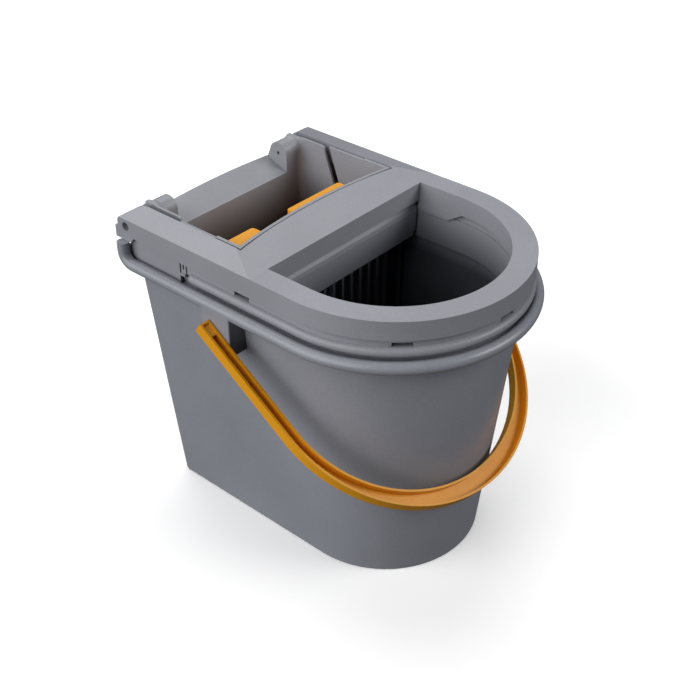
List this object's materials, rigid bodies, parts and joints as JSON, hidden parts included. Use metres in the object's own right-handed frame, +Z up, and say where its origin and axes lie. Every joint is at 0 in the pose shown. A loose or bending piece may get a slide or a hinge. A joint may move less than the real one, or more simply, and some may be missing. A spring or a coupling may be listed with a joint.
{
  "type": "mop bucket with wringer",
  "caption": "D-shaped plastic bucket with a lift-off press wringer, an L-shaped press lever coupled to a swinging rear jaw, and a channel-section bail.",
  "frame": {"origin": "on the floor, under the middle of the object's bounding box", "axes": "+Z up, -Y towards the rounded front, +Y towards the press chamber, X across along the bail's and the jaws' hinge lines"},
  "size_m": [0.302, 0.3675, 0.3214],
  "materials": {
    "bucket_grey": "satin moulded polypropylene",
    "wringer_grey": "fine-grained moulded polypropylene",
    "orange": "semi-gloss moulded polypropylene",
    "steel": "zinc-plated steel wire and rod",
    "buffer_rubber": "matt black rubber"
  },
  "bodies": {
    "bucket": {"bucket_shell": "bucket_grey"},
    "bail": {"bail_handle": "orange", "left_bail_peg": "orange", "right_bail_peg": "orange"},
    "wringer": {"wringer_frame": "wringer_grey", "skirt_ring": "wringer_grey", "press_basket": "wringer_grey", "floor_grille": "wringer_grey", "left_jaw_pin": "steel", "right_jaw_pin": "steel", "press_shaft": "steel", "left_shaft_clip": "steel", "right_shaft_clip": "steel", "left_return_spring": "steel", "right_return_spring": "steel", "stop_buffers": "buffer_rubber", "basket_screws": "steel", "ring_screws": "steel", "left_snap_clip": "wringer_grey", "right_snap_clip": "wringer_grey"},
    "press_lever": {"press_plate": "orange", "left_drive_pin": "steel", "right_drive_pin": "steel"},
    "jaw": {"rear_jaw": "wringer_grey"}
  },
  "joints": [
    {"name": "bail_swing", "type": "hinge", "parent": "bucket", "child": "bail", "pos_m": [0, 0.04725, 0.2524], "axis": [-1, 0, 0], "range_deg": [0, 270]},
    {"name": "wringer_lift", "type": "slide", "parent": "bucket", "child": "wringer", "axis": [0, 0, 1], "range_m": [0, 0.2]},
    {"name": "press_squeeze", "type": "hinge", "parent": "wringer", "child": "press_lever", "pos_m": [0, 0.06725, 0.166], "axis": [-1, 0, 0], "range_deg": [0, 18], "stiffness_Nm_per_rad": 2.5, "springref_deg": -8.59, "deforming": ["left_return_spring", "right_return_spring"]},
    {"name": "jaw_swing", "type": "hinge", "parent": "wringer", "child": "jaw", "pos_m": [0, 0.16675, 0.3083], "axis": [-1, 0, 0], "range_deg": [0, 5.2]}
  ],
  "couplings": [
    {"joint": "jaw_swing", "follows": "press_squeeze", "ratio": 0.27778}
  ]
}
